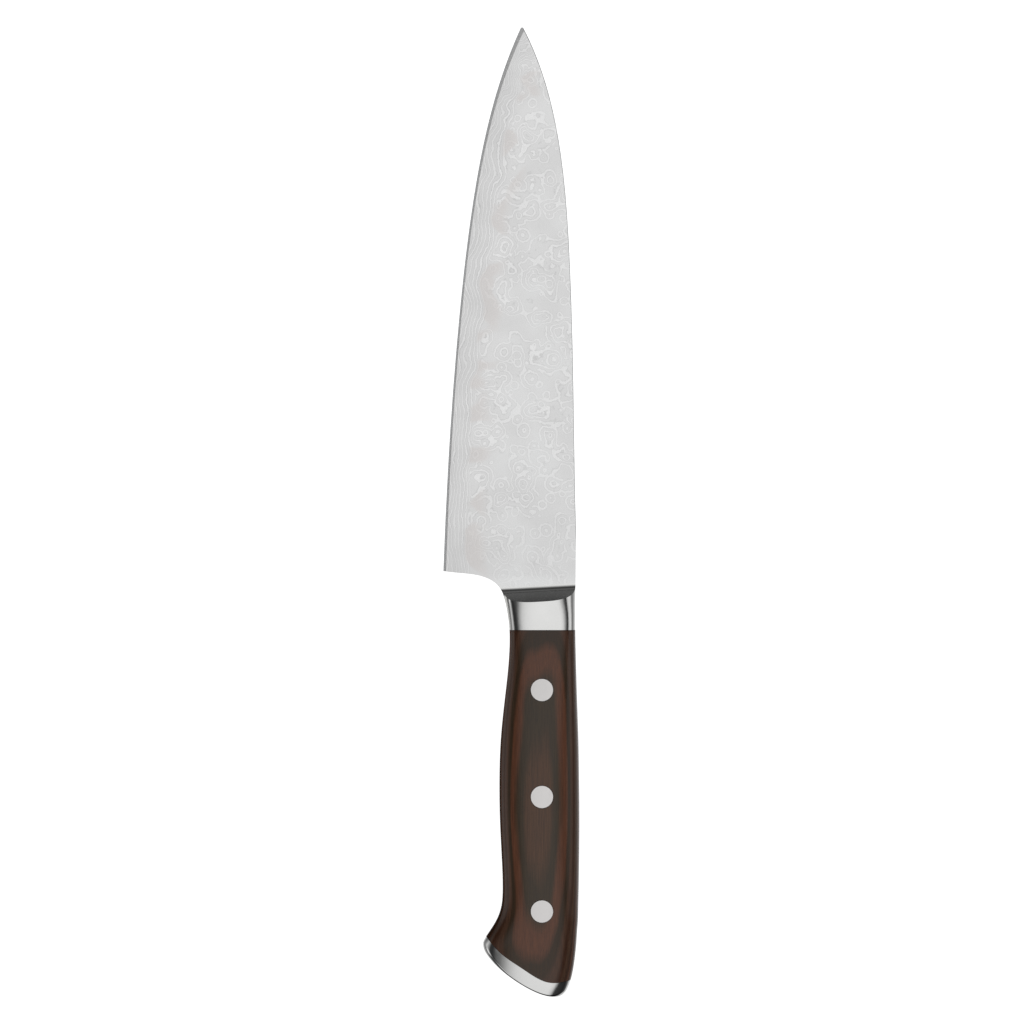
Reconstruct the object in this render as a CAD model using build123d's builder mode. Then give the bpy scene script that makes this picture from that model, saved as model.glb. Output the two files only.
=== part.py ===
from build123d import *
import math
import os

os.makedirs("parts", exist_ok=True)

# A full-tang chef knife, in millimetres. It stands on its butt: +Z runs up to the tip,
# the cutting edge looks towards -X and the spine towards +X, and the two broad faces look
# towards -Y (front) and +Y (back). The origin is the centre of the middle rivet, halfway
# through the tang. Outlines are drawn in the XZ plane, as (x, z) points.

# ---- Blade ----
TIP = (-6.8, 262.9)  # where edge and spine would meet, before the tip is rounded
TIP_RADIUS = 0.55
HEEL = (-33.6, 76.9)
EDGE_CURVE = [HEEL, (-31.9, 114.0), (-28.3, 162.0), (-23.4, 203.0), (-14.2, 244.0), TIP]
SPINE_CURVE = [(11.65, 90.0), (10.75, 138.0), (9.5, 182.0), (6.7, 217.0), (1.0, 244.0), TIP]
NECK_CURVE = [HEEL, (-24.0, 75.8), (-17.2, 73.7), (-13.4, 69.5)]
SHOULDER_Z = 66.0  # the blade's full width ends here, on the bolster's block
SHOULDER_LEFT = -12.4
SHOULDER_RIGHT = 11.4
TONGUE_HALF_WIDTH = 8.0  # tongues that enter the bolster's slot, blade from above, tang from below
WELD_Z = 61.5  # blade tongue and tang tongue meet here, inside the bolster

# Each face of the blade is one flat plane, thinner towards the edge and towards the tip.
HEEL_HALF = 0.25  # half thickness of the blade at the heel, behind the edge bevel
GRIND_SLOPE = 0.0155  # half thickness gained per mm from the edge towards the spine
DISTAL_SLOPE = 0.0015  # half thickness lost per mm towards the tip
CORE_HALF = 0.15  # half thickness of the hard centre layer
BLANK = 4.0  # thickness of each cladding layer before its face is ground
BEVEL_ANGLE = 15.5  # sharpening angle of each side
EDGE_HALF = 0.015  # half thickness left at the very edge
SPINE_EASING = 0.2
GRIND_DEPTH = 3.0  # reach of the edge grinding tools into the blade
GRIND_CLEARANCE = 1.0  # how far the grinding tools stand off the blade

# ---- Bolster ----
BOLSTER_BOTTOM = 56.8
ROOT_Z = 72.1  # where the ramp leaves the blade, at x = 0
ROOT_TILT = 3.0  # degrees, the root line climbs towards the spine
ROOT_RADIUS = 3.0
ROOT_TURN = 52.0  # degrees turned by the root fillet
ROOT_STEP = 0.04  # thickness of the ramp's thin upper rim
RAMP_REACH = 7.3  # outwards from the blade's face, past the bolster's own surface
RAMP_DROP = 6.25  # down from the root line
TONGUE_RELIEF = 0.05  # below the root line each face of the blade is ground back this much

# ---- Handle ----
# Lines of the handle and bolster, from the butt up: height, belly, crown line, back, and
# the squareness of the section, where 2 is an ellipse and more is squarer.
STATIONS = [
    (-73.0, -22.2, -3.2, 4.0, 2.5),
    (-69.0, -21.9, -3.1, 6.8, 2.5),
    (-65.5, -21.6, -3.0, 8.7, 2.5),
    (-62.0, -21.4, -2.9, 9.95, 2.5),
    (-58.0, -21.2, -2.75, 10.8, 2.5),
    (-54.0, -20.95, -2.6, 11.35, 2.5),
    (-50.0, -20.3, -2.5, 11.75, 2.5),
    (-46.0, -17.95, -2.3, 12.0, 2.5),
    (-42.0, -15.5, -2.1, 12.3, 2.5),
    (-38.0, -14.0, -1.9, 12.4, 2.5),
    (-32.0, -13.4, -1.7, 12.55, 2.5),
    (-22.0, -13.65, -1.6, 12.7, 2.5),
    (-10.0, -14.25, -1.6, 12.8, 2.5),
    (5.0, -14.5, -1.5, 12.7, 2.5),
    (20.0, -14.0, -1.2, 12.45, 2.6),
    (33.0, -12.7, -0.7, 12.0, 2.8),
    (45.0, -11.4, -0.1, 11.65, 3.1),
    (53.0, -11.0, 0.1, 11.45, 3.4),
    (58.0, -11.15, 0.1, 11.4, 3.5),
    (63.0, -11.8, 0.0, 11.4, 3.2),
    (67.0, -12.65, -0.3, 11.4, 2.7),
    (70.0, -13.7, -0.7, 11.45, 2.5),
    (73.0, -16.2, -1.5, 11.5, 2.4),
    (76.0, -20.5, -3.0, 11.6, 2.4),
]
SECTION_STEPS = 12
CROWN_HALF = 10.0  # half thickness of the handle where it is thickest
CROWN_Z = -5.0
CROWN_FALL = 0.00073  # half thickness lost per square millimetre away from CROWN_Z
BOLSTER_HALF = 6.9  # half thickness of the bolster, constant towards the blade
TANG_HALF = 1.0
TAIL_SHIFT = (-1.1, 0.0, -1.9)  # how far the tang's tail enters the end cap
TAIL_LEFT = -11.0
TAIL_WIDTH = 15.0

# ---- End cap ----
# Both curves run from belly to back and end outside the handle.
CAP_TOP_CURVE = [(-23.0, -41.5), (-18.4, -48.4), (-14.5, -52.9), (-6.4, -58.7), (2.0, -63.2), (14.0, -61.0)]
BUTT_CURVE = [(-22.3, -48.6), (-18.2, -54.55), (-12.1, -60.5), (-4.9, -65.2), (4.4, -68.15), (14.0, -65.5)]

# ---- Rivets ----
RIVETS = {"fore": 36.4, "mid": 0.0, "aft": -39.0}
HEAD_RADIUS = 3.77
HEAD_THICKNESS = 1.8
TUBE_RADIUS = 2.5
PIN_RADIUS = 1.5
END_GAP = 0.8  # free space left at the end of each tube and pin

BIG = 40.0  # larger than any half width, for cutting tools
LONG = 160.0  # longer than the handle, for cutting tools
TOOL_OVERRUN = 25.0  # how far a swept tool runs past the ends of its curve

FRONT = -1
BACK = 1


def face_half(x, z):
    """Half thickness of the blade at a point of its outline."""
    return HEEL_HALF + GRIND_SLOPE * (x - HEEL[0]) - DISTAL_SLOPE * (z - HEEL[1])


def face_normal(side):
    """Outward normal of the blade's flat face on one side."""
    return Vector(-GRIND_SLOPE, side, DISTAL_SLOPE).normalized()


def face_plane(side):
    """Plane of the blade's flat face on one side, at the origin's height."""
    return Plane(origin=(0, side * face_half(0, 0), 0), z_dir=face_normal(side))


def root_plane(side):
    """Plane square to the bolster's root line on one side: x outwards from the blade, y up."""
    outwards = face_normal(side)
    along = Vector(1, 0, math.tan(math.radians(ROOT_TILT)))
    along = (along - outwards * along.dot(outwards)).normalized()
    return Plane(origin=(0, side * face_half(0, ROOT_Z), ROOT_Z), x_dir=outwards, z_dir=along * side)


def crown_half(z):
    """Half thickness of the handle and bolster at a height."""
    return max(CROWN_HALF - CROWN_FALL * (z - CROWN_Z) ** 2, BOLSTER_HALF if z > 0 else 0)


def half_section(belly, crown, back, half, squareness):
    """Points round the front half of one section of the handle, from its back to its belly."""
    points = [(back, 0)]
    for step in range(1, SECTION_STEPS):
        angle = math.pi * step / SECTION_STEPS
        reach = back - crown if math.cos(angle) > 0 else crown - belly
        across = math.copysign(abs(math.cos(angle)) ** (2 / squareness), math.cos(angle))
        through = math.sin(angle) ** (2 / squareness)
        points.append((crown + reach * across, -half * through))
    points.append((belly, 0))
    return points


def seat(z):
    """Distance from the mid-plane to the seat of a rivet head."""
    return crown_half(z) - HEAD_THICKNESS


def swept_tool(route, section):
    """Sweep a section, drawn as (inwards, along Y) points, along a spline and past its ends."""
    with BuildLine() as path:
        curve = Spline(*route)
        before = Line(curve @ 0 - TOOL_OVERRUN * (curve % 0), curve @ 0)
        Line(curve @ 1, curve @ 1 + TOOL_OVERRUN * (curve % 1))
    heading = before % 0
    with BuildPart() as tool:
        with BuildSketch(Plane(origin=before @ 0, x_dir=Vector(0, 1, 0).cross(heading), z_dir=heading)):
            with BuildLine():
                Polyline(*section, close=True)
            make_face()
        sweep(path=path.wires()[0])
    return tool.part


# ---- Shared solids, not exported ----

with BuildSketch(Plane.XZ) as blade_outline:
    with BuildLine():
        Spline(*EDGE_CURVE)
        spine = Spline(*reversed(SPINE_CURVE))
        Polyline(
            spine @ 1,
            (SHOULDER_RIGHT, SHOULDER_Z),
            (TONGUE_HALF_WIDTH, SHOULDER_Z),
            (TONGUE_HALF_WIDTH, WELD_Z),
            (-TONGUE_HALF_WIDTH, WELD_Z),
            (-TONGUE_HALF_WIDTH, SHOULDER_Z),
            (SHOULDER_LEFT, SHOULDER_Z),
            NECK_CURVE[-1],
        )
        Spline(*NECK_CURVE)
    make_face()
    fillet(blade_outline.vertices().sort_by(Axis.Y)[-1], radius=TIP_RADIUS)

# What is ground off each face of the blade below the root line, where the bolster covers it.
tongue_reliefs = {}
for side in (FRONT, BACK):
    with BuildPart() as tongue_relief:
        with BuildSketch(root_plane(side)):
            with Locations((-TONGUE_RELIEF, 0)):
                Rectangle(BLANK, BIG, align=(Align.MIN, Align.MAX))
        extrude(amount=BIG, both=True)
    tongue_reliefs[side] = tongue_relief.part

# Space between the planes of the two blade faces.
with BuildPart() as blade_wedge:
    with Locations((0, 0, SHOULDER_Z)):
        Box(2 * BIG, BIG, 2 * BIG)
    for side in (FRONT, BACK):
        split(bisect_by=face_plane(side), keep=Keep.BOTTOM)
        add(tongue_reliefs[side], mode=Mode.SUBTRACT)

# Slot in the bolster: open above the blade's shoulders, closed round both tongues below.
with BuildPart() as bolster_slot:
    with BuildSketch(Plane.XZ):
        with Locations((0, SHOULDER_Z)):
            Rectangle(2 * BIG, BIG, align=(Align.CENTER, Align.MIN))
        with Locations((0, WELD_Z)):
            Rectangle(2 * TONGUE_HALF_WIDTH, BIG, align=(Align.CENTER, Align.MIN))
    extrude(amount=BIG, both=True)
    add(blade_wedge.part, mode=Mode.INTERSECT)
    with BuildSketch(Plane.XZ):
        with Locations((0, BOLSTER_BOTTOM)):
            Rectangle(2 * TONGUE_HALF_WIDTH, WELD_Z - BOLSTER_BOTTOM, align=(Align.CENTER, Align.MIN))
    extrude(amount=TANG_HALF, both=True)

# Grinding tools for the two sides of the cutting edge and the two corners of the spine.
bevel_rise = math.tan(math.radians(BEVEL_ANGLE))
edge_grinders = {}
spine_grinders = {}
for side in (FRONT, BACK):
    edge_grinders[side] = swept_tool(
        [(x, 0, z) for x, z in EDGE_CURVE],
        [
            (-GRIND_CLEARANCE, side * (EDGE_HALF - GRIND_CLEARANCE * bevel_rise)),
            (GRIND_DEPTH, side * (EDGE_HALF + GRIND_DEPTH * bevel_rise)),
            (GRIND_DEPTH, side * GRIND_DEPTH),
            (-GRIND_CLEARANCE, side * GRIND_DEPTH),
        ],
    )
    spine_grinders[side] = swept_tool(
        [(x, side * face_half(x, z), z) for x, z in reversed(SPINE_CURVE)],
        [
            (SPINE_EASING + GRIND_CLEARANCE, side * GRIND_CLEARANCE),
            (-GRIND_CLEARANCE, -side * (SPINE_EASING + GRIND_CLEARANCE)),
            (-GRIND_CLEARANCE, side * GRIND_CLEARANCE),
        ],
    )

# Outer form of bolster, scales and end cap, before they are divided.
with BuildPart() as handle_form:
    for height, belly, crown, back, squareness in STATIONS:
        with BuildSketch(Plane.XY.offset(height)):
            with BuildLine():
                points = half_section(belly, crown, back, crown_half(height), squareness)
                Spline(*points, tangents=[(0, -1), (0, 1)])
                Line(points[-1], points[0])
            make_face()
    loft()
    mirror(about=Plane.XZ)

# Everything between the bolster and the end cap.
with BuildPart() as grip_zone:
    with BuildSketch(Plane.XZ):
        with BuildLine():
            cap_line = Spline(*CAP_TOP_CURVE)
            Polyline(cap_line @ 1, (BIG, BOLSTER_BOTTOM), (-BIG, BOLSTER_BOTTOM), cap_line @ 0)
        make_face()
    extrude(amount=BIG, both=True)

# The stretch of the tang that enters the end cap.
with BuildPart() as tail_zone:
    add(grip_zone.part.moved(Location(TAIL_SHIFT)))
    add(grip_zone.part, mode=Mode.SUBTRACT)
    with BuildSketch(Plane.XZ):
        with Locations((TAIL_LEFT, BOLSTER_BOTTOM)):
            Rectangle(TAIL_WIDTH, LONG, align=(Align.MIN, Align.MAX))
    extrude(amount=BIG, both=True, mode=Mode.INTERSECT)

# ---- Blade ----

with BuildPart() as core_steel:
    with BuildSketch(Plane.XZ.offset(-CORE_HALF)):
        add(blade_outline.sketch_local)
    extrude(amount=2 * CORE_HALF)
    for side in (FRONT, BACK):
        add(edge_grinders[side], mode=Mode.SUBTRACT)
core_steel.part.label = "core_steel"
export_step(core_steel.part, "parts/core_steel.step")

for side, name in ((FRONT, "cladding_front"), (BACK, "cladding_back")):
    with BuildPart() as cladding:
        with BuildSketch(Plane.XZ.offset(-side * CORE_HALF)):
            add(blade_outline.sketch_local)
        extrude(amount=-side * BLANK)
        split(bisect_by=face_plane(side), keep=Keep.BOTTOM)
        add(tongue_reliefs[side], mode=Mode.SUBTRACT)
        add(edge_grinders[side], mode=Mode.SUBTRACT)
        add(spine_grinders[side], mode=Mode.SUBTRACT)
    cladding.part.label = name
    export_step(cladding.part, f"parts/{name}.step")

# ---- Bolster ----

with BuildPart() as bolster:
    add(handle_form.part)
    with Locations((0, 0, BOLSTER_BOTTOM)):
        Box(2 * BIG, 2 * BIG, BIG, align=(Align.CENTER, Align.CENTER, Align.MIN), mode=Mode.INTERSECT)
    add(bolster_slot.part, mode=Mode.SUBTRACT)
    for side in (FRONT, BACK):
        with BuildSketch(root_plane(side)):
            with BuildLine():
                root = JernArc((ROOT_STEP, 0), (0, -1), ROOT_RADIUS, ROOT_TURN)
                ramp = TangentArc(root @ 1, (RAMP_REACH, -RAMP_DROP), tangent=root % 1)
                Polyline(
                    ramp @ 1,
                    (BIG, -RAMP_DROP),
                    (BIG, BIG),
                    (-HEEL_HALF, BIG),
                    (-HEEL_HALF, 0),
                    root @ 0,
                )
            make_face()
        extrude(amount=BIG, both=True, mode=Mode.SUBTRACT)
bolster.part.label = "bolster"
export_step(bolster.part, "parts/bolster.step")

# ---- Tang ----

with BuildPart() as tang:
    add(handle_form.part)
    add(grip_zone.part, mode=Mode.INTERSECT)
    with BuildSketch(Plane.XZ):
        with Locations((0, WELD_Z)):
            Rectangle(2 * TONGUE_HALF_WIDTH, BIG, align=(Align.CENTER, Align.MAX))
    extrude(amount=BIG, both=True)
    add(tail_zone.part)
    with BuildSketch(Plane.XZ):
        Rectangle(LONG, LONG)
    extrude(amount=TANG_HALF, both=True, mode=Mode.INTERSECT)
    with BuildSketch(Plane.XZ):
        with Locations(*[(0, height) for height in RIVETS.values()]):
            Circle(TUBE_RADIUS)
    extrude(amount=TANG_HALF, both=True, mode=Mode.SUBTRACT)
tang.part.label = "tang"
export_step(tang.part, "parts/tang.step")

# ---- End cap ----

with BuildPart() as end_cap:
    add(handle_form.part)
    add(grip_zone.part, mode=Mode.SUBTRACT)
    with BuildSketch(Plane.XZ):
        with BuildLine():
            butt = Spline(*BUTT_CURVE)
            Polyline(butt @ 1, (BIG, 0), (-BIG, 0), butt @ 0)
        make_face()
    extrude(amount=BIG, both=True, mode=Mode.INTERSECT)
    add(tang.part, mode=Mode.SUBTRACT)
end_cap.part.label = "end_cap"
export_step(end_cap.part, "parts/end_cap.step")

# ---- Scales ----

for side, name in ((FRONT, "scale_front"), (BACK, "scale_back")):
    with BuildPart() as scale:
        add(handle_form.part)
        add(grip_zone.part, mode=Mode.INTERSECT)
        with BuildSketch(Plane.XZ.offset(-side * TANG_HALF)):
            Rectangle(LONG, LONG)
        extrude(amount=-side * BIG, mode=Mode.INTERSECT)
        for height in RIVETS.values():
            with BuildSketch(Plane.XZ):
                with Locations((0, height)):
                    Circle(TUBE_RADIUS)
            extrude(amount=BIG, both=True, mode=Mode.SUBTRACT)
            with BuildSketch(Plane.XZ.offset(-side * seat(height))):
                with Locations((0, height)):
                    Circle(HEAD_RADIUS)
            extrude(amount=-side * BIG, mode=Mode.SUBTRACT)
    scale.part.label = name
    export_step(scale.part, f"parts/{name}.step")

# ---- Rivets ----

for place, height in RIVETS.items():
    for side, half_name in ((FRONT, "female"), (BACK, "male")):
        name = f"rivet_{place}_{half_name}"
        with BuildPart() as rivet_half:
            with BuildSketch(Plane.XZ.offset(-side * seat(height))):
                with Locations((0, height)):
                    Circle(HEAD_RADIUS)
            extrude(amount=-side * 2 * HEAD_THICKNESS)
            add(handle_form.part, mode=Mode.INTERSECT)
            with BuildSketch(Plane.XZ.offset(-side * seat(height))):
                with Locations((0, height)):
                    if half_name == "female":
                        Circle(TUBE_RADIUS)
                        Circle(PIN_RADIUS, mode=Mode.SUBTRACT)
                    else:
                        Circle(PIN_RADIUS)
            extrude(amount=side * (2 * seat(height) - END_GAP))
        rivet_half.part.label = name
        export_step(rivet_half.part, f"parts/{name}.step")
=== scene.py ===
import math

import bmesh
import bpy
import numpy as np
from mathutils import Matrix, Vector


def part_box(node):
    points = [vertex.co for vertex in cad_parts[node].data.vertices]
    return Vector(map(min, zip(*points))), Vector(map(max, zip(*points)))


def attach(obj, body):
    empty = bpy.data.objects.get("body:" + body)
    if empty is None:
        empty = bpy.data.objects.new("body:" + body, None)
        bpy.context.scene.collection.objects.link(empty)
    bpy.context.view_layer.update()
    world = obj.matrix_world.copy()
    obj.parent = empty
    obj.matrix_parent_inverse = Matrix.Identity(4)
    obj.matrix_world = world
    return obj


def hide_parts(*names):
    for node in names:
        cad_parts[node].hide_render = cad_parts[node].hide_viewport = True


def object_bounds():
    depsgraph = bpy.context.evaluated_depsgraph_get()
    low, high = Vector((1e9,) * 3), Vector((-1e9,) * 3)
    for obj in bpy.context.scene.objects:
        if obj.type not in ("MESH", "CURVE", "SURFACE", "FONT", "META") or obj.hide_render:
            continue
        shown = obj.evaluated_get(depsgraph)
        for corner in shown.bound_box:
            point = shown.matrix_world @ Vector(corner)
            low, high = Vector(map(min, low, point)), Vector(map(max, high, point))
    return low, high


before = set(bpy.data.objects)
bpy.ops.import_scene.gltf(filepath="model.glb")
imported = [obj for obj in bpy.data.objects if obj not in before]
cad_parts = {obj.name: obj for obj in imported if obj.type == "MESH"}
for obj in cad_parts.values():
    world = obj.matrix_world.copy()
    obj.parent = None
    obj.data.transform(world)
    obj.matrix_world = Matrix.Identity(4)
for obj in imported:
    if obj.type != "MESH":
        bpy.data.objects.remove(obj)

cad_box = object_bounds()

# The looks of a chef knife. The frame is the CAD's: +Z up to the tip, the cutting edge
# towards -X, the front face towards -Y, and the origin in the middle rivet. The patterns of
# the materials and the end cap's mesh are worked out in millimetres, because every detail on
# the knife is that fine. Blender itself works in metres.

MM = 0.001

# Nearly all of a noise's values lie between these two.
NOISE_LOW = 0.3
NOISE_HIGH = 0.7

# ---- Node helpers ----


def as_rgb(colour):
    """A grey level or a colour, as three numbers."""
    return (colour,) * 3 if isinstance(colour, (int, float)) else tuple(colour)


class Graph:
    """A node tree, with short calls for the nodes that the looks are made of."""

    def __init__(self, owner):
        owner.use_nodes = True
        self.tree = owner.node_tree

    def node(self, kind, **settings):
        made = self.tree.nodes.new(kind)
        for key, value in settings.items():
            setattr(made, key, value)
        return made

    def feed(self, socket, value):
        """Link an output to a socket, or set a constant on it."""
        if isinstance(value, bpy.types.NodeSocket):
            self.tree.links.new(value, socket)
        elif socket.type == "RGBA":
            socket.default_value = (*as_rgb(value), 1)
        else:
            socket.default_value = value

    def math(self, operation, a, b=0.0, c=0.0):
        made = self.node("ShaderNodeMath", operation=operation)
        for socket, value in zip(made.inputs, (a, b, c)):
            self.feed(socket, value)
        return made.outputs[0]

    def total(self, first, *others):
        for value in others:
            first = self.math("ADD", first, value)
        return first

    def product(self, first, *others):
        for value in others:
            first = self.math("MULTIPLY", first, value)
        return first

    def split(self, vector):
        made = self.node("ShaderNodeSeparateXYZ")
        self.feed(made.inputs[0], vector)
        return made.outputs

    def join(self, x, y, z):
        made = self.node("ShaderNodeCombineXYZ")
        for socket, value in zip(made.inputs, (x, y, z)):
            self.feed(socket, value)
        return made.outputs[0]

    def curve(self, value, points):
        """A smooth curve through points (x, y), both from 0 to 1."""
        made = self.node("ShaderNodeFloatCurve")
        line = made.mapping.curves[0]
        for x, y in points[1:-1]:
            line.points.new(x, y)
        line.points[0].location = points[0]
        line.points[-1].location = points[-1]
        made.mapping.update()
        self.feed(made.inputs["Value"], value)
        return made.outputs[0]

    def scale_range(self, value, low, high, to_low=0.0, to_high=1.0, smooth=False):
        """The value's range from low to high, scaled to another one and cut off at its ends."""
        made = self.node("ShaderNodeMapRange", interpolation_type="SMOOTHSTEP" if smooth else "LINEAR")
        for socket, number in zip(made.inputs, (value, low, high, to_low, to_high)):
            self.feed(socket, number)
        return made.outputs[0]

    def ramp(self, value, stops):
        """A colour ramp; each stop is (place, grey or colour)."""
        made = self.node("ShaderNodeValToRGB")
        elements = made.color_ramp.elements
        while len(elements) < len(stops):
            elements.new(1.0)
        for element, (place, colour) in zip(elements, stops):
            element.position = place
            element.color = (*as_rgb(colour), 1)
        self.feed(made.inputs["Fac"], value)
        return made.outputs["Color"]

    def levels(self, value, low, high, table):
        """Grey by a value between low and high, from a table of (value, grey)."""
        stops = [((at - low) / (high - low), grey) for at, grey in table]
        return self.ramp(self.scale_range(value, low, high), stops)

    def mix(self, share, a, b, blend="MIX"):
        made = self.node("ShaderNodeMix", data_type="RGBA", blend_type=blend)
        self.feed(made.inputs["Factor"], share)
        self.feed(made.inputs["A"], a)
        self.feed(made.inputs["B"], b)
        return made.outputs["Result"]


class Look(Graph):
    """The node tree of a new material."""

    def __init__(self, name):
        self.material = bpy.data.materials.new(name)
        super().__init__(self.material)
        self.shader = self.tree.nodes["Principled BSDF"]
        in_mm = self.node("ShaderNodeVectorMath", operation="SCALE")
        in_mm.inputs["Scale"].default_value = 1 / MM
        self.feed(in_mm.inputs[0], self.node("ShaderNodeTexCoord").outputs["Object"])
        self.coords = in_mm.outputs[0]

    def noise(self, pitch, detail=2.0, vector=None, stretch=(1, 1, 1), roughness=0.5):
        """Noise from 0 to 1 with features about pitch mm apart, longer along a stretched axis."""
        mapping = self.node("ShaderNodeMapping")
        mapping.inputs["Scale"].default_value = [1 / (pitch * factor) for factor in stretch]
        self.feed(mapping.inputs["Vector"], vector or self.coords)
        made = self.node("ShaderNodeTexNoise")
        made.inputs["Scale"].default_value = 1.0
        made.inputs["Detail"].default_value = detail
        made.inputs["Roughness"].default_value = roughness
        self.feed(made.inputs["Vector"], mapping.outputs[0])
        return made.outputs["Fac"]

    def spread(self, noise, low, high):
        """A noise, spread over the range from low to high."""
        return self.scale_range(noise, NOISE_LOW, NOISE_HIGH, low, high)

    def sway(self, reach, pitch, detail, vector, stretch=(1, 1, 1)):
        """Wandering from -reach to reach."""
        return self.spread(self.noise(pitch, detail, vector, stretch), -reach, reach)

    def bump(self, height, depth, strength):
        """Relief of a depth in millimetres."""
        made = self.node("ShaderNodeBump")
        made.inputs["Strength"].default_value = strength
        made.inputs["Distance"].default_value = depth * MM
        self.feed(made.inputs["Height"], height)
        self.feed(self.shader.inputs["Normal"], made.outputs[0])

    def set(self, **sockets):
        """Set or link the shader's sockets: base_color=..., specular_ior_level=..."""
        for key, value in sockets.items():
            name = key.replace("_", " ").title().replace("Ior", "IOR")
            self.feed(self.shader.inputs[name], value)


# ---- The end cap's mesh ----

# The handle near its butt, as in the CAD source: height, and x of the belly, of the crown
# (where the handle is thickest) and of the back.
BUTT_STATIONS = [
    (-73.0, -22.2, -3.2, 4.0),
    (-69.0, -21.9, -3.1, 6.8),
    (-65.5, -21.6, -3.0, 8.7),
    (-62.0, -21.4, -2.9, 9.95),
    (-58.0, -21.2, -2.75, 10.8),
    (-54.0, -20.95, -2.6, 11.35),
    (-50.0, -20.3, -2.5, 11.75),
    (-46.0, -17.95, -2.3, 12.0),
    (-42.0, -15.5, -2.1, 12.3),
    (-38.0, -14.0, -1.9, 12.4),
]
SQUARENESS = 2.58  # of the sections: 2 is an ellipse, more is squarer

# Half the handle's thickness: CROWN_HALF at the height CROWN_Z, falling off on both sides.
CROWN_HALF = 10.0
CROWN_Z = -5.0
CROWN_FALL = 0.00073

# The wood's end and the butt as (x, z), from the belly to the back.
CAP_TOP_CURVE = [
    (-23.0, -41.5), (-18.4, -48.4), (-14.5, -52.9), (-6.4, -58.7), (2.0, -63.2), (14.0, -61.0),
]
BUTT_CURVE = [
    (-22.3, -48.6), (-18.2, -54.55), (-12.1, -60.5), (-4.9, -65.2), (4.4, -68.15), (14.0, -65.5),
]

# Radius of the rounded butt edge by x: large at the toe and the back corner, small between.
EDGE_ROUNDING = [
    (-22.0, 2.2), (-18.0, 1.6), (-12.0, 0.7), (-6.0, 0.5), (3.0, 0.55), (6.5, 1.4), (10.0, 2.2),
]

# The mesh's divisions: along the seam with the wood, then down the face, round the edge and
# under the butt.
CAP_STEPS_ALONG = 220
CAP_STEPS_FACE = 14
CAP_STEPS_EDGE = 14
CAP_STEPS_UNDER = 8
ROUNDED_REACH = 1.3  # how far the fine steps round the edge go on, in edge radii
SHORTEST_REACH = 0.1  # stands in for the distance to the edge at the seam's ends, where it is 0
CAP_SHARP_ANGLE = math.radians(40)
MERGE_DISTANCE = 2e-6  # metres

PROBE = 0.01  # step in millimetres for a slope
SMALLEST_SLOPE = 1e-6
SEAM_SAMPLES = 4000
SEAM_PROBE = 1e-4  # step for the seam's direction, as a share of its length
RAY_REACH = 30.0
RAY_HALVINGS = 34


def cubic(knots, values):
    """The smooth curve through (knots, values), as a function that takes and returns arrays."""
    t = np.array(knots, float)
    v = np.array(values, float)
    step = np.diff(t)
    rise = np.diff(v) / step
    count = len(t)
    system = np.eye(count)
    target = np.zeros(count)
    for i in range(1, count - 1):
        system[i, i - 1] = step[i - 1]
        system[i, i] = 2 * (step[i - 1] + step[i])
        system[i, i + 1] = step[i]
        target[i] = 6 * (rise[i] - rise[i - 1])
    bend = np.linalg.solve(system, target)

    def at(where):
        where = np.asarray(where, float)
        i = np.clip(np.searchsorted(t, where) - 1, 0, count - 2)
        a = t[i + 1] - where
        b = where - t[i]
        h = step[i]
        linear = (v[i] / h - bend[i] * h / 6) * a + (v[i + 1] / h - bend[i + 1] * h / 6) * b
        return linear + (bend[i] * a**3 + bend[i + 1] * b**3) / (6 * h)

    return at


def route(points):
    """A smooth curve through (x, z) points: x and z as functions of the share of its length."""
    xs, zs = zip(*points)
    reach = np.concatenate([[0], np.cumsum(np.hypot(np.diff(xs), np.diff(zs)))])
    return cubic(reach / reach[-1], xs), cubic(reach / reach[-1], zs)


class HandleButt:
    """The handle's lower end with its rounded butt edge, as distances from its surfaces."""

    def __init__(self):
        heights, belly, crown, back = zip(*BUTT_STATIONS)
        self.belly = cubic(heights, belly)
        self.crown = cubic(heights, crown)
        self.back = cubic(heights, back)
        self.butt = cubic(*zip(*BUTT_CURVE))

    def rounding(self, x):
        """Radius of the butt edge."""
        return np.interp(x, *zip(*EDGE_ROUNDING))

    def fullness(self, point):
        """How far out a point lies in its section: 1 on the handle's surface."""
        x, y, z = point
        crown = self.crown(z)
        reach = np.where(x > crown, self.back(z) - crown, crown - self.belly(z))
        half = CROWN_HALF - CROWN_FALL * (z - CROWN_Z) ** 2
        total = np.abs((x - crown) / reach) ** SQUARENESS + np.abs(y / half) ** SQUARENESS
        return total ** (1 / SQUARENESS)

    def side_distance(self, point):
        """Distance outside the handle's side surface, roughly, from the slope of its fullness."""
        here = self.fullness(point)
        slopes = []
        for axis in range(3):
            moved = [c + PROBE * (axis == i) for i, c in enumerate(point)]
            slopes.append((self.fullness(moved) - here) / PROBE)
        return (here - 1) / np.sqrt(sum(slope**2 for slope in slopes) + SMALLEST_SLOPE**2)

    def butt_distance(self, point):
        """Distance below the butt surface, roughly."""
        x, _, z = point
        level = self.butt(x)
        slope = (self.butt(x + PROBE) - level) / PROBE
        return (level - z) / np.sqrt(1 + slope**2)

    def outside(self, point):
        """Distance outside the whole form, roughly, with the edge between side and butt rounded."""
        radius = self.rounding(point[0])
        a = self.side_distance(point) + radius
        b = self.butt_distance(point) + radius
        rounded = np.hypot(np.maximum(a, 0), np.maximum(b, 0))
        return np.minimum(np.maximum(a, b), 0) + rounded - radius


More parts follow.
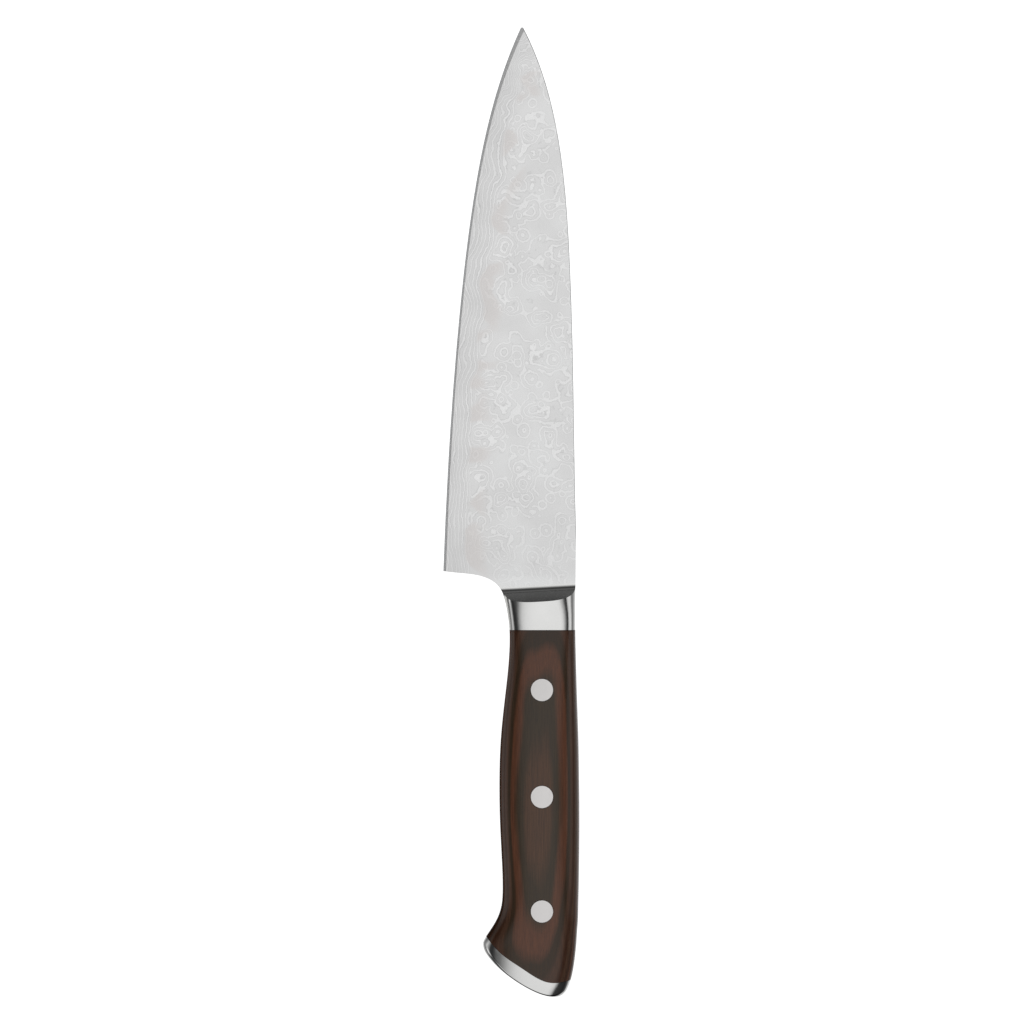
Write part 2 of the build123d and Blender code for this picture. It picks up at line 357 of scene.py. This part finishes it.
def depth_inside(starts, headings, distance):
    """How far it is from points inside to where a distance turns positive, along headings."""
    near = np.zeros(starts.shape[1:])
    far = near + RAY_REACH
    for _ in range(RAY_HALVINGS):
        middle = (near + far) / 2
        out = distance(starts + middle * headings) > 0
        far = np.where(out, middle, far)
        near = np.where(out, near, middle)
    return near


def seam_frames(shape):
    """Points across the wood's end, from belly to back, and at each one the way down to the butt."""
    seam_x, seam_z = route(CAP_TOP_CURVE)
    share = np.linspace(0, 1, SEAM_SAMPLES)
    inside = share[shape.fullness((seam_x(share), 0, seam_z(share))) < 1]
    eased = (1 - np.cos(np.linspace(0, math.pi, CAP_STEPS_ALONG + 1))) / 2
    share = inside[0] + (inside[-1] - inside[0]) * eased
    along_x = seam_x(share + SEAM_PROBE) - seam_x(share - SEAM_PROBE)
    along_z = seam_z(share + SEAM_PROBE) - seam_z(share - SEAM_PROBE)
    length = np.hypot(along_x, along_z)
    level = np.zeros_like(share)
    points = np.stack([seam_x(share), level, seam_z(share)])
    down = np.stack([along_z / length, level, -along_x / length])
    return points, down


def cap_points(shape):
    """The cap's surface as a grid: one row per point of the seam, turning from front to back."""
    points, down = seam_frames(shape)
    front = np.zeros_like(down)
    front[1] = -1
    half = depth_inside(points, front, shape.side_distance)
    fall = depth_inside(points, down, shape.outside)
    corner = np.arctan2(fall, half)
    to_corner = np.maximum(np.hypot(fall, half), SHORTEST_REACH)
    room = np.minimum(corner, math.pi / 2 - corner) / 2
    spread = np.minimum(ROUNDED_REACH * shape.rounding(points[0]) / to_corner, room)

    # Angles of the rays from the seam: 0 is straight to the front, a right angle down to the butt.
    facing = np.zeros_like(corner)
    under = np.full_like(corner, math.pi / 2)
    zones = [
        (facing, corner - spread, CAP_STEPS_FACE),
        (corner - spread, corner + spread, CAP_STEPS_EDGE),
        (corner + spread, under, CAP_STEPS_UNDER),
    ]
    turns = [start + (end - start) * step / steps for start, end, steps in zones for step in range(steps)]
    rows = []
    for turn in [*turns, under]:
        heading = np.cos(turn) * front + np.sin(turn) * down
        rows.append(points + depth_inside(points, heading, shape.outside) * heading)
    mirrored = [row * np.array([[1], [-1], [1]]) for row in reversed(rows[:-1])]
    return np.array(rows + mirrored).transpose(2, 0, 1)


def make_end_cap():
    """The polished cap with its butt edge rounded, which the CAD solid leaves sharp."""
    grid = cap_points(HandleButt())
    rows, columns, _ = grid.shape
    faces = []
    for i in range(rows - 1):
        for j in range(columns):
            k = (j + 1) % columns
            faces.append((i * columns + j, i * columns + k, (i + 1) * columns + k, (i + 1) * columns + j))
    mesh = bpy.data.meshes.new("end_cap_polished")
    mesh.from_pydata((grid.reshape(-1, 3) * MM).tolist(), [], faces)
    edit = bmesh.new()
    edit.from_mesh(mesh)
    bmesh.ops.remove_doubles(edit, verts=edit.verts, dist=MERGE_DISTANCE)
    bmesh.ops.recalc_face_normals(edit, faces=edit.faces)
    edit.to_mesh(mesh)
    edit.free()
    mesh.shade_smooth()
    mesh.set_sharp_from_angle(angle=CAP_SHARP_ANGLE)
    cap = bpy.data.objects.new("end_cap_polished", mesh)
    bpy.context.scene.collection.objects.link(cap)
    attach(cap, "root")
    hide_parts("end_cap")
    return cap


# ---- The blade's steel ----

# The cutting edge as (height, x), from the heel to the tip.
EDGE_LINE = [
    (76.9, -33.6), (114.0, -31.9), (162.0, -28.3), (203.0, -23.4), (244.0, -14.2), (262.9, -6.8),
]

# Brightness through one layer of the blade: plain, then a light line with dark borders.
LAYER_GREYS = [
    (0.0, 0.50), (0.31, 0.47), (0.38, 0.06), (0.46, 0.82), (0.52, 0.90), (0.59, 0.66),
    (0.66, 0.90), (0.72, 0.82), (0.81, 0.04), (0.92, 0.44), (1.0, 0.50),
]
PLAIN = 0.18  # where the broad plain areas lie in a layer
FUZZ = 0.11  # how uneven every line is, in layers

# Lines run along the edge, LINE_PITCH apart, until the layer number LAST_LINE.
LINE_PITCH = 1.35
LAST_LINE = 6

# The lines wander by these reaches. The tip's own sway grows over the heights in TIP.
SLOW_SWAY = 2.2
FINE_SWAY = 0.35
TIP_SWAY = 2.5
TIP = (222, 245)

# Rings and islands set in over these distances from the edge. A ring's kind is the pitch
# between hollows, the largest radius and the pitch of its circles.
INLAND = (7.6, 9.2)
RINGS = [(8.2, 4.6, 1.75), (5.6, 2.4, 1.5)]
SMALLEST_RING = 0.35  # as a share of the largest
RING_SCATTER = 0.75
ISLAND_LAYERS = 9
FACE_GAP = 70  # the two faces read the pattern at places this far on either side

# Shades of the steel: where a line is darkest and lightest, what the pattern fades to at the
# heel, what every layer is drawn to by a share of its own, and the warm and cool patches.
LINE_DARK = 0.62
LINE_LIGHT = 1.0
HEEL_GREY = 0.80
TONE_GREY = 0.85
WARM_GREY = (0.78, 0.745, 0.73)
COOL_GREY = (0.82, 0.83, 0.83)


def distance_from_edge(g, x, z):
    """Millimetres from the cutting edge, towards the spine."""
    heel_z, heel_x = EDGE_LINE[0]
    tip_z, tip_x = EDGE_LINE[-1]
    length = tip_z - heel_z
    rise = tip_x - heel_x
    points = [((height - heel_z) / length, (edge - heel_x) / rise) for height, edge in EDGE_LINE]
    share = g.curve(g.scale_range(z, heel_z, tip_z), points)
    return g.math("SUBTRACT", x, g.scale_range(share, 0, 1, heel_x, tip_x))


def waved_distance(g, flat, from_edge, z):
    """The distance from the edge with the sway that the lines along the edge have."""
    slow = g.sway(SLOW_SWAY, pitch=18, detail=1.5, vector=flat)
    fine = g.sway(FINE_SWAY, pitch=3.6, detail=1, vector=flat, stretch=(1, 1.6, 1))
    in_tip = g.scale_range(z, *TIP, smooth=True)
    tip = g.product(in_tip, g.sway(TIP_SWAY, pitch=6, detail=1, vector=flat))
    return g.total(from_edge, slow, fine, tip)


def pushed_about(g, vector, pitch, reach):
    """The same place, moved about by up to reach, so that round shapes become irregular."""
    push = g.node("ShaderNodeTexNoise")
    push.inputs["Scale"].default_value = 1 / pitch
    push.inputs["Detail"].default_value = 1.5
    g.feed(push.inputs["Vector"], vector)
    moved = g.node("ShaderNodeVectorMath", operation="MULTIPLY_ADD")
    g.feed(moved.inputs[0], push.outputs["Color"])
    moved.inputs[1].default_value = (2 * reach, 2 * reach, 0)
    g.feed(moved.inputs[2], vector)
    return moved.outputs[0]


def dimples(g, place, pitch, radius, ring_pitch):
    """Round hollows, pitch apart and of different sizes, counted in layers of ring_pitch."""
    cells = g.node("ShaderNodeTexVoronoi", voronoi_dimensions="2D", feature="F1")
    cells.inputs["Scale"].default_value = 1 / pitch
    cells.inputs["Randomness"].default_value = RING_SCATTER
    g.feed(cells.inputs["Vector"], place)
    size = g.scale_range(g.split(cells.outputs["Color"])[0], 0, 1, radius * SMALLEST_RING, radius)
    hollow = g.math("MULTIPLY_ADD", cells.outputs["Distance"], -pitch, size)
    return g.math("DIVIDE", g.math("MAXIMUM", hollow, 0), ring_pitch)


def layer_number(g, flat, waved):
    """Which layer shows, with its fraction the place in that layer."""
    lines = g.math("MINIMUM", g.math("DIVIDE", waved, LINE_PITCH), LAST_LINE)
    place = pushed_about(g, flat, pitch=6, reach=0.9)
    rings = g.math("MAXIMUM", *[dimples(g, place, *kind) for kind in RINGS])
    ringed = g.scale_range(g.noise(14, 0.5, flat), 0.36, 0.44, smooth=True)
    hills = g.math("MAXIMUM", g.math("SUBTRACT", g.noise(9, 1, flat), 0.5), 0)
    islands = g.product(hills, ISLAND_LAYERS)
    inland = g.scale_range(waved, *INLAND, smooth=True)
    relief = g.product(g.total(g.product(rings, ringed), islands), inland)
    fuzz = g.sway(FUZZ, pitch=0.9, detail=3, vector=flat)
    return g.total(lines, relief, fuzz, PLAIN)


def steel_colour(g, layer, lines, from_edge, waved, z, cloud):
    """Colour of the pattern: a tone for each layer, warm patches near the edge and cool ones inland."""
    tone = g.node("ShaderNodeTexWhiteNoise", noise_dimensions="1D")
    g.feed(tone.inputs["W"], g.math("FLOOR", layer))
    heel = g.scale_range(z, 74, 100, 0.45, 0)
    steel = g.mix(heel, g.mix(lines, LINE_DARK, LINE_LIGHT), HEEL_GREY)
    toned = g.mix(g.scale_range(tone.outputs["Value"], 0, 1, 0, 0.4), steel, TONE_GREY)
    warm_belt = g.product(g.scale_range(waved, 6.5, 7.5), g.scale_range(waved, 15, 11))
    warm = g.product(g.scale_range(cloud, 0.5, 0.55, 0, 0.6), warm_belt)
    cool = g.product(g.scale_range(cloud, 0.5, 0.38, 0, 0.3), g.scale_range(from_edge, 12, 20))
    return g.mix(cool, g.mix(warm, toned, WARM_GREY), COOL_GREY)


def steel_shade(g, waved, z, cloud):
    """Brightness of the blade: less at the edge, painted shade towards the heel, a painted light strip at
    the bolster, and patchy.
    """
    edge = g.scale_range(waved, 2, 12, 0.92, 1)
    # painted shade: the blade darker towards the heel
    heel = g.scale_range(z, 76, 125, 0.955, 1)
    # painted light: a lighter strip just above the bolster
    painted_bolster_light = g.scale_range(z, 76, 73.5, 1, 1.045)
    patches = g.scale_range(cloud, 0.35, 0.65, 1.05, 0.99)
    return g.product(edge, heel, painted_bolster_light, patches)


def patterned_steel():
    """Etched layered steel: lines along the edge, and rings and islands towards the spine."""
    g = Look("patterned_steel")
    x, y, z = g.split(g.coords)
    flat = g.join(x, z, g.product(g.math("SIGN", y), FACE_GAP))
    from_edge = distance_from_edge(g, x, z)
    waved = waved_distance(g, flat, from_edge, z)
    layer = layer_number(g, flat, waved)
    lines = g.ramp(g.math("FRACT", layer), LAYER_GREYS)
    cloud = g.noise(11, 1, flat)
    colour = steel_colour(g, layer, lines, from_edge, waved, z, cloud)
    grain = g.noise(0.25, 2, stretch=(1, 1, 5))
    g.set(
        base_color=g.mix(1.0, colour, steel_shade(g, waved, z, cloud), "MULTIPLY"),
        metallic=1.0,
        roughness=g.math("MULTIPLY_ADD", grain, 0.08, 0.20),
    )
    etching = g.math("MULTIPLY_ADD", grain, 0.15, g.product(lines, 0.5))
    g.bump(etching, depth=0.01, strength=0.5)
    return g.material


# ---- The other metals ----


def brushed_metal(name, pitch, detail, stretch, shades, roughness, depth, strength):
    """Bare metal with fine strokes that vary its shade and its roughness."""
    g = Look(name)
    strokes = g.noise(pitch, detail, stretch=stretch)
    dark, light = shades
    g.set(
        base_color=g.ramp(strokes, [(NOISE_LOW, dark), (NOISE_HIGH, light)]),
        metallic=1.0,
        roughness=g.spread(strokes, *roughness),
    )
    g.bump(strokes, depth, strength)
    return g.material


def honed_steel():
    """The hard centre layer, seen along the sharpened edge and the spine."""
    return brushed_metal(
        "core_steel",
        pitch=0.12,
        detail=2,
        stretch=(6, 6, 1),
        shades=[(0.90, 0.91, 0.92), (0.95, 0.96, 0.97)],
        roughness=(0.46, 0.56),
        depth=0.004,
        strength=0.5,
    )


def tang_steel():
    """The tang's rim, ground flush between the scales."""
    return brushed_metal(
        "tang_steel",
        pitch=0.3,
        detail=1,
        stretch=(1, 2, 10),
        shades=[0.62, 0.72],
        roughness=(0.26, 0.38),
        depth=0.002,
        strength=0.2,
    )


def rivet_metal():
    """Satin rivet heads, ground flush with the wood."""
    return brushed_metal(
        "rivet_metal",
        pitch=0.2,
        detail=3,
        stretch=(1, 1, 5),
        shades=[(0.82, 0.80, 0.79), (0.87, 0.85, 0.84)],
        roughness=(0.30, 0.40),
        depth=0.003,
        strength=0.4,
    )


def polished_steel():
    """Bolster and end cap: mirror polish with faint hairlines and handling marks."""
    g = Look("polished_steel")
    hairlines = g.noise(0.15, 3, stretch=(1, 1, 14))
    haze = g.noise(6, 2)
    g.set(
        base_color=g.ramp(haze, [(0.35, (0.80, 0.80, 0.79)), (0.7, (0.83, 0.83, 0.82))]),
        metallic=1.0,
        roughness=g.math("MULTIPLY_ADD", haze, 0.05, g.spread(hairlines, 0.05, 0.09)),
    )
    g.bump(hairlines, depth=0.001, strength=0.4)
    return g.material


# ---- The handle's wood ----

# Colours of the wood's plies from the outside in. Each one is PLY thick and the outermost
# starts OUTER_PLY from the mid-plane.
PLY = 0.72
OUTER_PLY = 9.6
PLY_COLOURS = [
    (0.067, 0.030, 0.014),
    (0.034, 0.021, 0.010),
    (0.092, 0.032, 0.014),
    (0.029, 0.015, 0.006),
    (0.056, 0.024, 0.012),
    (0.036, 0.012, 0.004),
    (0.052, 0.024, 0.012),
    (0.036, 0.016, 0.009),
    (0.070, 0.028, 0.015),
    (0.036, 0.018, 0.010),
    (0.062, 0.028, 0.015),
]
PLY_BLEND = 0.020  # softness of the joints, as a share of all plies
PLY_DRIFT = 0.17  # unevenness of the joints along the handle

# The plies rise by FORE_LIFT towards the bolster, over the heights in FORE.
FORE_LIFT = 0.42
FORE = (18, 42)

# They sink by WAVE beside the middle line, and rise by as much at the belly and the back. The
# wave fades out towards both ends of the handle, over the distances in WAVE_END.
WAVE = 0.18
WAVE_MIDDLE = -1
WAVE_SINK = (3, 6.5)
WAVE_RISE = (6.8, 9)
WAVE_END = (26, 44)

# The painted shade along the bolster and round each rivet: its width, and the light left in it.
BOLSTER_SHADE = (0.7, 0.5)
RIVET_SHADE = (0.45, 0.45)
SHADE_COLOUR = (0.004, 0.003, 0.002)
PORE_COLOUR = (0.012, 0.008, 0.006)


def box_in_mm(name):
    """A CAD node's lowest and highest corners."""
    return [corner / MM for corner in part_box(name)]


def painted_joint_shade(g, x, z):
    """1 on open wood, less in the painted shade along the bolster and round each rivet."""
    bottom = box_in_mm("bolster")[0].z
    width, left = BOLSTER_SHADE
    light = g.scale_range(z, bottom - width, bottom, 1, left)
    width, left = RIVET_SHADE
    for place in ("fore", "mid", "aft"):
        low, high = box_in_mm(f"rivet_{place}_female")
        across = g.math("SUBTRACT", x, (low.x + high.x) / 2)
        up = g.math("SUBTRACT", z, (low.z + high.z) / 2)
        radius = g.math("SQRT", g.total(g.product(across, across), g.product(up, up)))
        edge = (high.z - low.z) / 2
        light = g.product(light, g.scale_range(radius, edge, edge + width, left, 1))
    return light


def ply_depth(g, x, y, z):
    """Where a point lies in the stack of plies, as millimetres from the mid-plane."""
    drift = g.scale_range(g.noise(7, 1.5, stretch=(1, 1, 7)), 0.25, 0.75, -PLY_DRIFT, PLY_DRIFT)
    lift = g.scale_range(z, *FORE, 0, FORE_LIFT, smooth=True)
    from_middle = g.math("ABSOLUTE", g.math("SUBTRACT", x, WAVE_MIDDLE))
    sink = g.scale_range(from_middle, *WAVE_SINK, 0, -WAVE, smooth=True)
    rise = g.scale_range(from_middle, *WAVE_RISE, 0, 2 * WAVE, smooth=True)
    fading = g.scale_range(g.math("ABSOLUTE", z), *WAVE_END, 1, 0, smooth=True)
    wave = g.product(g.total(sink, rise), fading)
    return g.total(g.math("ABSOLUTE", y), lift, drift, wave)


def plies(g, depth):
    """The plies' colours by depth, with softened joints."""
    count = len(PLY_COLOURS)
    stops = []
    for number, colour in enumerate(reversed(PLY_COLOURS)):
        stops.append((number / count + (PLY_BLEND if number else 0), colour))
        stops.append(((number + 1) / count - PLY_BLEND, colour))
    return g.ramp(g.scale_range(depth, OUTER_PLY - PLY * (count - 1), OUTER_PLY + PLY), stops)


def laminated_wood():
    """Dyed hardwood plies under a clear polish. The plies are flat, so the rounding of the
    handle cuts them into contour bands."""
    g = Look("laminated_wood")
    x, y, z = g.split(g.coords)
    bands = plies(g, ply_depth(g, x, y, z))
    streaks = g.noise(0.4, 4, stretch=(1, 1, 28), roughness=0.6)
    pores = g.noise(0.22, 2, stretch=(1, 1, 16))
    grain = g.mix(0.8, bands, g.ramp(streaks, [(0.3, 0.68), (0.5, 1.0), (0.72, 1.35)]), "MULTIPLY")
    pored = g.mix(g.scale_range(pores, 0.64, 0.72, 0, 0.4), grain, PORE_COLOUR)
    g.set(
        # painted shade along the bolster and round the rivets, mixed into the wood's colour
        base_color=g.mix(painted_joint_shade(g, x, z), SHADE_COLOUR, pored),
        roughness=g.spread(streaks, 0.36, 0.5),
        specular_ior_level=0.25,
        coat_weight=0.52,
        coat_roughness=0.12,
    )
    g.bump(g.math("MULTIPLY_ADD", pores, -0.5, streaks), depth=0.012, strength=0.25)
    return g.material


# ---- Dressing the knife ----


def dress(material, *names):
    """Give a material to CAD nodes."""
    for name in names:
        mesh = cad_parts[name].data
        mesh.materials.clear()
        mesh.materials.append(material)


dress(patterned_steel(), "cladding_front", "cladding_back")
dress(honed_steel(), "core_steel")
chrome = polished_steel()
dress(chrome, "bolster")
make_end_cap().data.materials.append(chrome)
dress(tang_steel(), "tang")
dress(laminated_wood(), "scale_front", "scale_back")
dress(rivet_metal(), *[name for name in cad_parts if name.startswith("rivet")])

# ---- Studio ----

FLOOR_SIZE = 30.0
FLOOR_PAINT = 0.9
FRAME_WIDTH = 0.3491  # width of the picture at the knife
CAMERA_LENS = 600.0
CAMERA_SENSOR = 36.0
AIM_TO_SPINE = 0.0002  # the picture's middle lies this far to the spine's side of the knife's

# Brightness of the studio by the angle from the front in degrees, positive towards +X: a
# broad front light, dark gaps, and side lights.
STUDIO = [
    (-180, 0.90), (-160, 0.80), (-140, 0.30), (-125, 0.22), (-108, 0.34), (-90, 0.68),
    (-74, 0.30), (-64, 0.04), (-52, 0.03), (-45, 0.08), (-38, 0.25), (-31, 0.46),
    (-22, 0.67), (-10, 0.82), (0, 0.90), (18, 0.90), (25, 0.80), (31, 0.58), (37, 0.32),
    (44, 0.08), (53, 0.02), (60, 0.60), (72, 0.82), (84, 0.60), (95, 0.18), (112, 0.24),
    (135, 0.55), (155, 0.85), (180, 0.90),
]

# The same, a little below the horizon, where the right-hand light does not reach.
STUDIO_LOW = [
    (-180, 0.90), (-140, 0.35), (-116, 0.10), (-106, 0.80), (-88, 0.90), (-78, 0.10),
    (-64, 0.04), (-50, 0.03), (-42, 0.05), (-31, 0.14), (-22, 0.34), (-15, 0.56),
    (-8, 0.73), (0, 0.82), (24, 0.84), (38, 0.80), (46, 0.56), (54, 0.05), (64, 0.01),
    (95, 0.02), (125, 0.20), (142, 0.75), (180, 0.90),
]

# The same, well below: light from the floor.
STUDIO_FLOOR = [
    (-180, 0.75), (-145, 0.60), (-122, 0.08), (-74, 0.04), (-60, 0.40), (-50, 0.75),
    (15, 0.75), (34, 0.40), (44, 0.04), (98, 0.02), (122, 0.08), (140, 0.60), (180, 0.75),
]

# Share of that light by height, from straight down to straight up: the sine of the angle.
HEIGHTS = [
    (-1.0, 0.05), (-0.80, 0.05), (-0.66, 0.50), (-0.54, 1.0), (0.0, 1.0), (0.26, 0.95),
    (0.45, 0.45), (0.62, 0.10), (0.80, 0.04), (0.94, 0.145), (1.0, 0.19),
]

# The heights over which STUDIO fades into STUDIO_LOW, and that into STUDIO_FLOOR.
LOW_BAND = (-0.05, -0.12)
FLOOR_BAND = (-0.26, -0.38)

BACKDROP = 1.2  # the white that the camera sees behind the knife


def make_floor():
    """A plain white floor at the foot of the knife, which is left out of reflections."""
    mesh = bpy.data.meshes.new("floor")
    half = FLOOR_SIZE / 2
    level = cad_box[0].z
    corners = [(-half, -half, level), (half, -half, level), (half, half, level), (-half, half, level)]
    mesh.from_pydata(corners, [], [(0, 1, 2, 3)])
    floor = bpy.data.objects.new("floor", mesh)
    bpy.context.scene.collection.objects.link(floor)
    g = Look("floor_paint")
    g.set(base_color=FLOOR_PAINT, roughness=0.9, emission_color=1.0, emission_strength=1.0)
    mesh.materials.append(g.material)
    floor.visible_glossy = False


def make_world():
    """Soft studio light all round, darker overhead. The camera sees plain white behind the knife."""
    world = bpy.data.worlds.new("studio")
    bpy.context.scene.world = world
    g = Graph(world)
    x, y, height = g.split(g.node("ShaderNodeTexCoord").outputs["Generated"])
    turn = g.math("DEGREES", g.math("ARCTAN2", x, g.product(y, -1)))
    around, low, floor = [g.levels(turn, -180, 180, table) for table in (STUDIO, STUDIO_LOW, STUDIO_FLOOR)]
    around = g.mix(g.scale_range(height, *LOW_BAND, smooth=True), around, low)
    around = g.mix(g.scale_range(height, *FLOOR_BAND, smooth=True), around, floor)
    light = g.mix(1.0, around, g.levels(height, -1, 1, HEIGHTS), "MULTIPLY")
    camera_ray = g.node("ShaderNodeLightPath").outputs["Is Camera Ray"]
    g.feed(g.tree.nodes["Background"].inputs["Color"], g.mix(camera_ray, light, BACKDROP))


def make_camera():
    """Square on to the front face, from far away, as in the photograph."""
    data = bpy.data.cameras.new("camera")
    data.lens = CAMERA_LENS
    data.sensor_width = CAMERA_SENSOR
    camera = bpy.data.objects.new("camera", data)
    bpy.context.scene.collection.objects.link(camera)
    low, high = cad_box
    centre = (low + high) / 2
    distance = FRAME_WIDTH * CAMERA_LENS / CAMERA_SENSOR
    camera.location = centre + Vector((AIM_TO_SPINE, -distance, 0))
    camera.rotation_euler = (math.pi / 2, 0, 0)
    bpy.context.scene.camera = camera


make_floor()
make_world()
make_camera()
bpy.context.scene.view_settings.view_transform = "Standard"
